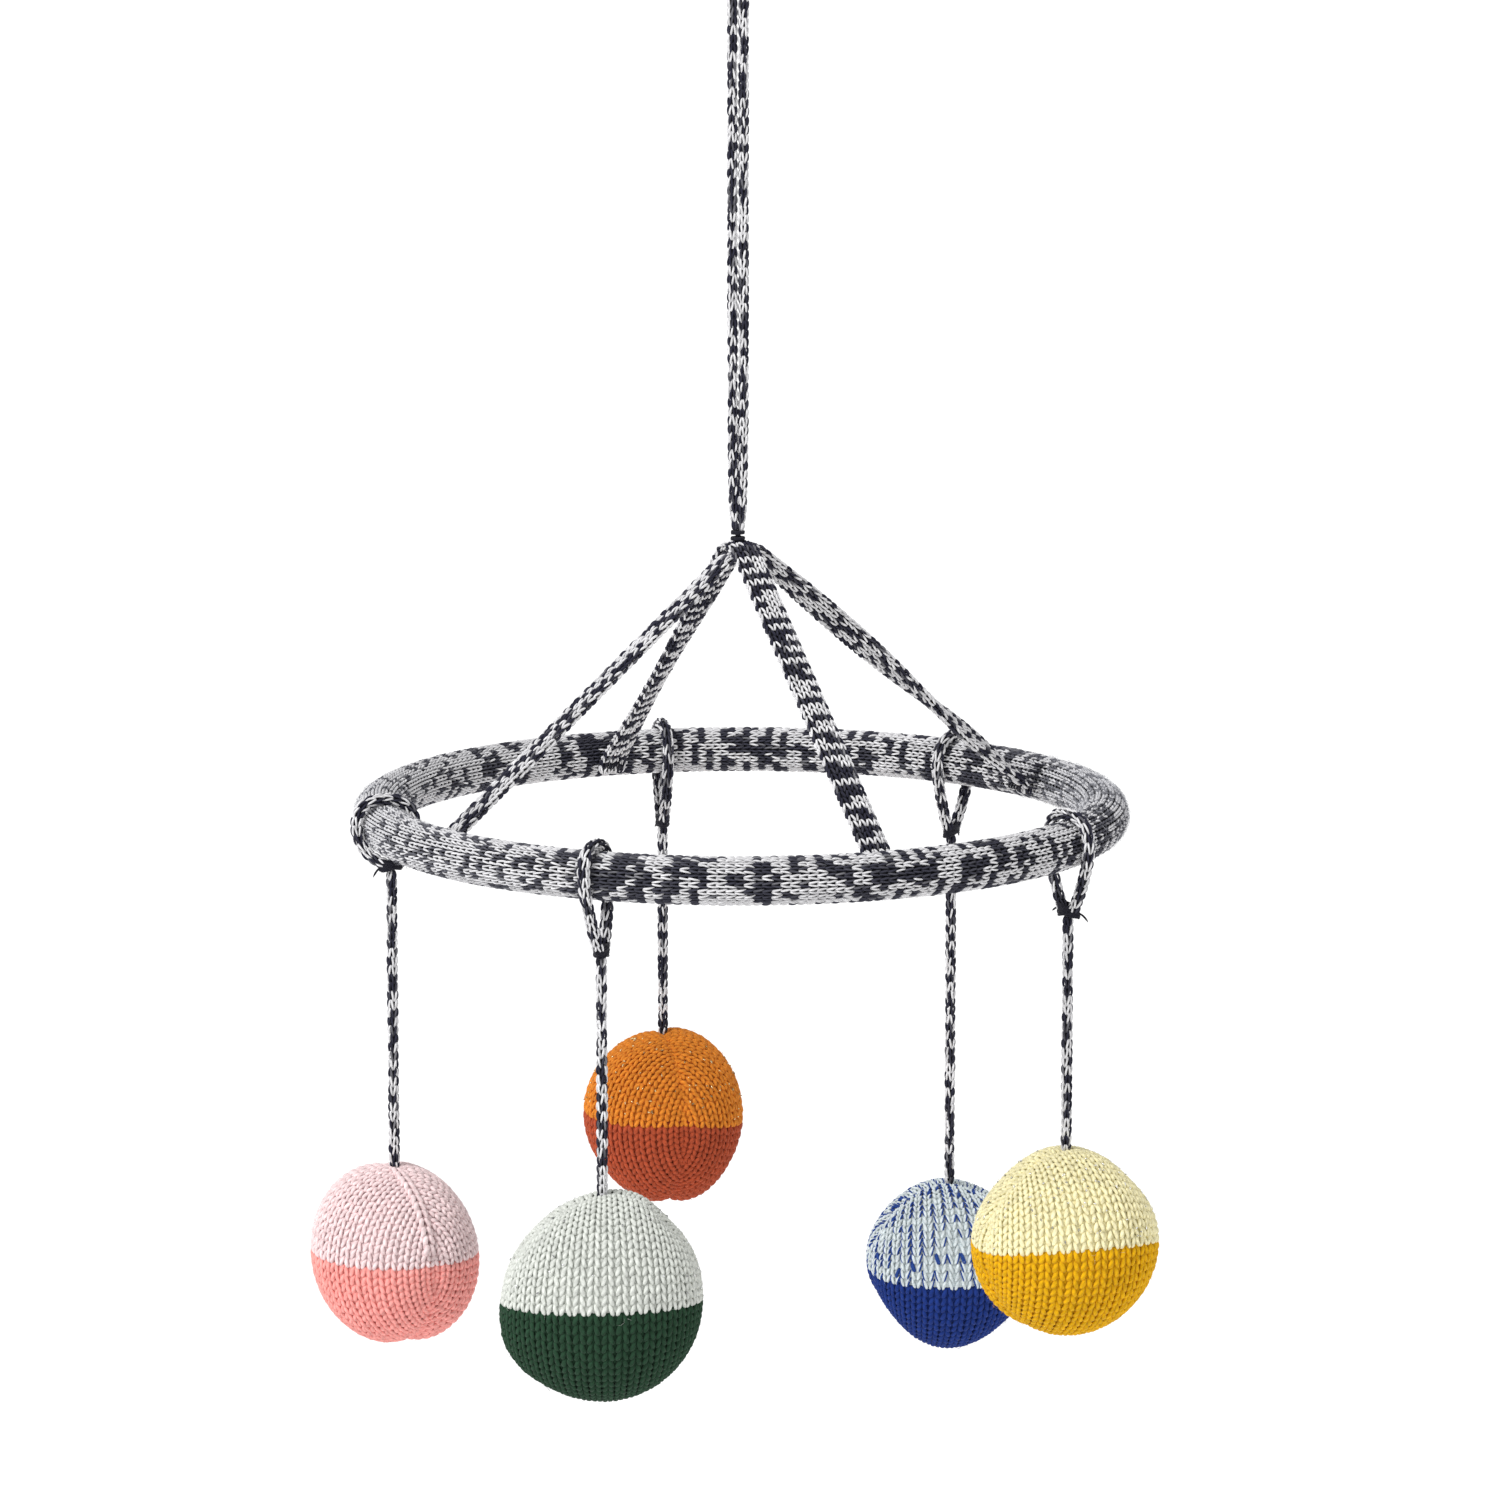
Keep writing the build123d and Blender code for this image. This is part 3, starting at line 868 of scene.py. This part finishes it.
def stuffed_shape(colour, ball, half):
    """A ball's stuffing: cloth that swells under pressure between the seams that hold it in."""
    mesh = bpy.data.meshes.new(f"{colour}_stuffing")
    work = bmesh.new()
    bmesh.ops.create_icosphere(work, subdivisions=5, radius=1)
    work.to_mesh(mesh)
    work.free()
    directions = unit(np.array([v.co for v in mesh.vertices]))
    start = directions * half * (1 + stuffing_swell(directions, ball, half))[:, None]
    shrunk = start * CLOTH_START
    mesh.vertices.foreach_set("co", shrunk.astype(np.float32).ravel())
    piece = bpy.data.objects.new(f"{colour}_stuffing", mesh)
    bpy.context.scene.collection.objects.link(piece)
    group = piece.vertex_groups.new(name="seam")
    held = (np.abs(directions[:, 1]) < 0.05) | (directions[:, 2] > 0.985)
    for index in np.flatnonzero(held):
        group.add([int(index)], 1.0, "REPLACE")
    cloth = piece.modifiers.new("cloth", "CLOTH")
    for key, value in CLOTH.items():
        setattr(cloth.settings, key, value)
    cloth.settings.effector_weights.gravity = 0
    return piece, shrunk


def swell_stuffing(shapes):
    """Runs the cloth of all the balls together and keeps its result, with a limit on how far it moves."""
    scene = bpy.context.scene
    for step in range(1, CLOTH_STEPS + 1):
        scene.frame_set(step)
    for piece, start in shapes.values():
        graph = bpy.context.evaluated_depsgraph_get()
        swollen = piece.evaluated_get(graph)
        after = np.empty(3 * len(piece.data.vertices), np.float32)
        swollen.data.vertices.foreach_get("co", after)
        move = after.reshape(-1, 3) - start
        size = np.linalg.norm(move, axis=1, keepdims=True)
        move *= CLOTH_REACH / np.maximum(size, CLOTH_REACH)
        piece.modifiers.clear()
        piece.data.vertices.foreach_set("co", (start + move).astype(np.float32).ravel())
        for polygon in piece.data.polygons:
            polygon.use_smooth = True
        piece.data.update()
    scene.frame_set(1)


def swell_table(piece, half):
    """The stuffing's surface as a share of the ellipsoid's, on a grid of azimuth and elevation."""
    mesh = piece.data
    tree = BVHTree.FromPolygons([v.co for v in mesh.vertices], [p.vertices for p in mesh.polygons])
    azimuths = np.linspace(-math.pi, math.pi, 145)
    elevations = np.linspace(-math.pi / 2, math.pi / 2, 73)
    table = np.ones((len(azimuths), len(elevations)))
    for i, a in enumerate(azimuths):
        for j, e in enumerate(elevations):
            ray = direction_of(a, e) * half
            hit = tree.ray_cast(Vector((0, 0, 0)), Vector(ray))
            if hit[3] is not None:
                table[i, j] = hit[3] / np.linalg.norm(ray)
    return table


def ball_surface(table, half, turn, centre):
    """Points over the ball from directions, and from a panel's own flat coordinates."""
    steps = np.array(table.shape) - 1

    def over(direction, lift):
        a = (np.arctan2(direction[..., 1], direction[..., 0]) + math.pi) / (2 * math.pi) * steps[0]
        e = (np.arcsin(np.clip(direction[..., 2], -1, 1)) + math.pi / 2) / math.pi * steps[1]
        i = np.clip(a.astype(int), 0, steps[0] - 1)
        j = np.clip(e.astype(int), 0, steps[1] - 1)
        fa, fe = a - i, e - j
        share = (
            table[i, j] * (1 - fa) * (1 - fe) + table[i + 1, j] * fa * (1 - fe)
            + table[i, j + 1] * (1 - fa) * fe + table[i + 1, j + 1] * fa * fe
        )
        local = direction * half * share[..., None] + unit(direction / half) * lift[..., None]
        x = local[..., 0] * math.cos(turn) - local[..., 1] * math.sin(turn)
        y = local[..., 0] * math.sin(turn) + local[..., 1] * math.cos(turn)
        return np.stack([x, y, local[..., 2]], -1) + centre

    def panel(p, q, face, lift):
        """face is -1 on the front panel; p and q are 0 at its middle and 1 away at its seam."""
        reach = np.maximum(np.hypot(p, q), 1e-6)
        angle = reach * math.pi / 2
        share = np.sin(angle) / reach
        return over(np.stack([p * share, face * np.cos(angle), q * share], -1), lift)

    return over, panel


def colour_line(ball, across, face):
    """How far the courses rise above the level of a panel's side seams, in quarter turns."""
    bow = np.where(face < 0, ball["bow"][0], ball["bow"][1])
    return bow * (1 - across**2) + ball.get("slope", 0.0) * across


def cover_backing(over, ball, half, upper, colour, depth):
    """The inner face of one half of a cover: a thin closed dome."""
    rows, sides = 26, 72
    azimuth = 2 * math.pi * np.arange(sides)[None, :] / sides * (1 if upper else -1)
    across = 2 * np.arccos(np.abs(np.sin(azimuth))) / math.pi * np.sign(np.cos(azimuth))
    rise = colour_line(ball, across, np.sign(np.sin(azimuth)))
    limit = math.asin(ball["colour_step"] / half[2]) + rise * math.pi / 2
    end = limit - 0.03 if upper else limit + 0.03
    pole = math.pi / 2 if upper else -math.pi / 2
    share = np.linspace(0.02, 1, rows)[:, None]
    elevation = pole + (end - pole) * share
    direction = direction_of(azimuth, elevation)
    flat = np.zeros((rows, sides))
    outer = over(direction, flat - depth)
    inner = over(direction, flat - depth - 0.0004)[::-1]
    rings = np.concatenate([outer, inner])[None]
    tips = np.stack([outer[0].mean(0), inner[-1].mean(0)])[None]
    return tubes(rings, tips, colour, 0.1)


def ball_stitches(ball, half):
    """Course, wale and panel of every stitch, with the row of the colour change as course 0."""
    wales = 2 * round(math.pi * math.hypot(half[0], half[1]) / math.sqrt(2) / BALL_KNIT["wale"] / 2) + 1
    course = BALL_KNIT["course"] / (math.pi * math.hypot(half[2], half[1]) / math.sqrt(2) / 2)
    change = math.asin(ball["colour_step"] / half[2]) * 2 / math.pi
    rows = int(1.2 / course)
    places = np.meshgrid(np.arange(-rows, rows), np.arange(wales) - wales // 2, [-1, 1], indexing="ij")
    row, column, face = (place.ravel() for place in places)
    p = column * 2 / wales
    q = change + colour_line(ball, p, face) + (row + 0.5) * course
    kept = np.hypot(p, q) < 1.025
    return row[kept], column[kept], face[kept], wales, course, change


def glinting_strips(ball, panel, change, rng):
    """Short strips of metal yarn on some of the stitches of a ball's light half, some of them darkened as a
    painted dark reflection.
    """
    number, metal = ball["glints"]
    p, q = rng.uniform(-0.9, 0.9, (2, number))
    face = rng.choice([-1, 1], number)
    q = change + colour_line(ball, p, face) + 0.06 + np.abs(q) * 0.8
    inside = np.hypot(p, q) < 0.95
    p, q, face = (values[inside] for values in (p, q, face))
    lift = np.full(len(p), 1.5 * BALL_KNIT["thickness"])
    place = panel(p, q, face, lift)
    outward = unit(panel(p, q, face, lift + 0.0005) - place)
    side = unit(np.cross(outward, rng.normal(size=outward.shape)))
    t = np.linspace(-0.5, 0.5, 6)[None, :, None]
    length = rng.uniform(0.0008, 0.0018, (len(side), 1, 1))
    paths = place[:, None] + t * length * side[:, None] - 0.0002 * (2 * t) ** 2 * outward[:, None]
    # painted reflection: four in ten strips take 0.42 of the metal's colour, as if they mirrored something
    # dark
    dark_reflection = rng.random((len(side), 1)) < 0.4
    tint = np.where(dark_reflection, 0.42, 1.0) * np.array(metal)
    return thread(paths, 0.00030, tint, sides=4, material=1)


def fuzz(panel, change, upper, tone, rng):
    """Fine stray fibres that stand out from one half of a ball's cover."""
    number = 700
    p, q = rng.uniform(-1, 1, (2, number))
    q = change + 0.02 + np.abs(q) * (1 - change) if upper else change - 0.02 - np.abs(q) * (1 + change)
    face = rng.choice([-1, 1], number)
    inside = np.hypot(p, q) < 0.98
    p, q, face = (values[inside, None] for values in (p, q, face))
    x, y, rise = stray_fibres(rng, p.shape, (0.02, 0.07), (0.0006, 0.0020))
    return thread(panel(p + x, q + y, face + 0 * x, rise), 0.00004, tone, sides=3)


def ball_frame(colour, ball):
    """A ball's middle and its three half sizes to the middle of its yarn."""
    low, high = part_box(f"{colour}_cover_base")[0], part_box(f"{colour}_cover_top")[1]
    centre = arm(ball["azimuth"], [(0, 0, 0)])[0]
    centre[2] = (low.z + high.z) / 2
    half = np.array([ball["width"], ball["thickness"], high.z - low.z]) / 2 - 1.3 * BALL_KNIT["thickness"]
    return centre, half


def half_stitches(ball, upper, knit, places, rng):
    """The stitches of a cover's light or deep half, with a second strand where the yarn is marled."""
    row, column, face = places
    tone = np.array(ball["light"] if upper else ball["deep"])
    groups = []
    for side in (-1, 1):
        held = (face == side) & ((row >= 0) if upper else (row < 0))
        u, v = row[held].astype(float), column[held].astype(float)
        colours = np.ones((len(u), 2, 1)) * tone
        if upper and "marl" in ball:
            marl = np.array(ball["marl"])
            colours = np.where(rng.random((len(u), 2, 1)) < 0.96, colours, marl)
            shown = rng.random(len(u)) < 0.62
            second = np.ones((shown.sum(), 2, 1)) * marl
            first_place, second_place = (-0.025, 0.80, 0.0), (0.10, 0.46, 0.22)
            groups.append(stitch_legs(knit(side), u, v, colours, rng, BALL_KNIT, first_place))
            u, v = u[shown], v[shown]
            groups.append(stitch_legs(knit(side), u, v, second, rng, MARL_KNIT, second_place))
        else:
            groups.append(stitch_legs(knit(side), u, v, colours, rng, BALL_KNIT if upper else SOFT_KNIT))
    return groups


def knit_ball(colour, ball, seed, centre, half, stuffing):
    """Both halves of a ball's cover over its stuffing."""
    rng = np.random.default_rng(seed)
    turn = math.radians(ball["width_azimuth"])
    over, panel = ball_surface(swell_table(stuffing, half), half, turn, centre)
    row, column, face, wales, course, change = ball_stitches(ball, half)

    def knit(face_side):
        def surface(u, v, lift):
            p = v * 2 / wales
            q = change + colour_line(ball, p, face_side) + (u + 0.2) * course
            tuck = np.clip((np.hypot(p, q) - 0.93) / 0.10, 0, 1) ** 2
            return panel(p, q, face_side, lift - 0.0010 * tuck)
        return surface

    def ridge(u, v, lift):
        """A column of stitches along the seam from the crown down, on the +X side."""
        angle = math.pi / 2 - 0.16 - u * course * math.pi / 2
        beside = (v - 0.42) * BALL_KNIT["wale"] / half[1]
        reach = np.cos(beside)
        direction = np.stack([np.cos(angle) * reach, np.sin(beside), np.sin(angle) * reach], -1)
        return over(direction, lift + 0.0011)

    for upper, part in ((True, "top"), (False, "base")):
        tone = np.array(ball["light"] if upper else ball["deep"])
        groups = half_stitches(ball, upper, knit, (row, column, face), rng)
        if upper and "ridge" in ball:
            u = np.arange(int(ball["ridge"] / course)).astype(float)
            colours = np.ones((len(u), 2, 1)) * tone
            groups.append(stitch_legs(ridge, u, 0 * u, colours, rng, RIDGE_KNIT))
        depth = (0.70 if upper else 0.45) * BALL_KNIT["thickness"]
        # the inner face is the yarn's own colour, made 3% darker as painted shade in the gaps between the
        # stitches
        groups.append(cover_backing(over, ball, half, upper, 0.97 * tone, depth))
        groups.append(fuzz(panel, change + 0.5 * max(ball["bow"]), upper, tone, rng))
        materials = [yarns[f"{colour}_{part}"]]
        if upper and "glints" in ball:
            groups.append(glinting_strips(ball, panel, change, rng))
            materials.append(glint)
        piece = build(f"{colour}_knit_{part}", groups, materials)
        slot = f"{colour}_light" if upper else f"{colour}_deep"
        finish_piece(piece, f"{colour}_ball", slot, f"{colour}_cover_{part}")
    stuffing.data.transform(Matrix.Scale(0.93, 4))
    stuffing.rotation_euler = (0, 0, turn)
    stuffing.location = centre
    stuffing.data.materials.append(wadding)
    finish_piece(stuffing, f"{colour}_ball", "wadding", f"{colour}_filling")


def make_balls():
    frames = {colour: ball_frame(colour, ball) for colour, ball in BALLS.items()}
    shapes = {colour: stuffed_shape(colour, ball, frames[colour][1]) for colour, ball in BALLS.items()}
    swell_stuffing(shapes)
    for seed, (colour, ball) in enumerate(BALLS.items(), 70):
        knit_ball(colour, ball, seed, *frames[colour], shapes[colour][0])


# ---------------------------------------------------------------------------- studio


def make_studio():
    """A wide pale floor, an even sky and two soft lights."""
    scene = bpy.context.scene
    scene.view_settings.view_transform = "Standard"
    mesh = bpy.data.meshes.new("floor")
    work = bmesh.new()
    bmesh.ops.create_grid(work, x_segments=2, y_segments=2, size=60)
    work.to_mesh(mesh)
    work.free()
    floor = bpy.data.objects.new("floor", mesh)
    floor.location = (0, 0, -0.95)
    scene.collection.objects.link(floor)
    material = bpy.data.materials.new("floor")
    material.use_nodes = True
    shader = material.node_tree.nodes["Principled BSDF"]
    shader.inputs["Base Color"].default_value = (1, 1, 1, 1)
    shader.inputs["Roughness"].default_value = 1.0
    shader.inputs["Specular IOR Level"].default_value = 0.0
    mesh.materials.append(material)
    world = bpy.data.worlds.new("studio")
    world.use_nodes = True
    world.node_tree.nodes["Background"].inputs["Color"].default_value = (1, 1, 1, 1)
    world.node_tree.nodes["Background"].inputs["Strength"].default_value = 0.66
    scene.world = world
    aim = Vector((0, 0, -0.42))
    for name, place, spread, power in (
        ("key", (-2.1, -1.7, 2.1), 24, 2.3),
        ("fill", (1.2, -2.2, 0.2), 40, 0.25),
    ):
        data = bpy.data.lights.new(name, "SUN")
        data.angle = math.radians(spread)
        data.energy = power
        light = bpy.data.objects.new(name, data)
        light.location = place
        light.rotation_euler = (aim - Vector(place)).to_track_quat("-Z", "Y").to_euler()
        scene.collection.objects.link(light)


place_camera()
melange = yarn_material("melange_knit")
dark_thread = yarn_material("dark_thread", roughness=0.7, sheen=0.15, ply=3.0, pitch=1.4, fibre=0.4)
wadding = plain_material("wadding", (0.72, 0.72, 0.70), (0.86, 0.86, 0.84), 900.0, 0.95)
steel = plain_material("hoop_steel", (0.42, 0.42, 0.43), (0.58, 0.58, 0.60), 500.0, 0.35, 1.0,
                       0.00002, (1, 1, 8))
glint = yarn_material("lurex", roughness=0.25, sheen=0.0, ply=1.0, pitch=0.9, fibre=0.15, metallic=0.7)
yarns = {
    f"{colour}_{part}": yarn_material(f"{colour}_{part}_yarn")
    for colour in BALLS for part in ("top", "base")
}
make_cords()
make_ring()
make_straps()
make_bindings()
make_apex_threads()
make_strap_stitches()
make_balls()
hidden = {"ring_hoop": steel, "ring_wadding": wadding}
hidden.update((f"{colour}_knot", dark_thread) for colour in BALLS)
for name, material in hidden.items():
    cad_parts[name].data.materials.clear()
    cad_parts[name].data.materials.append(material)
make_studio()
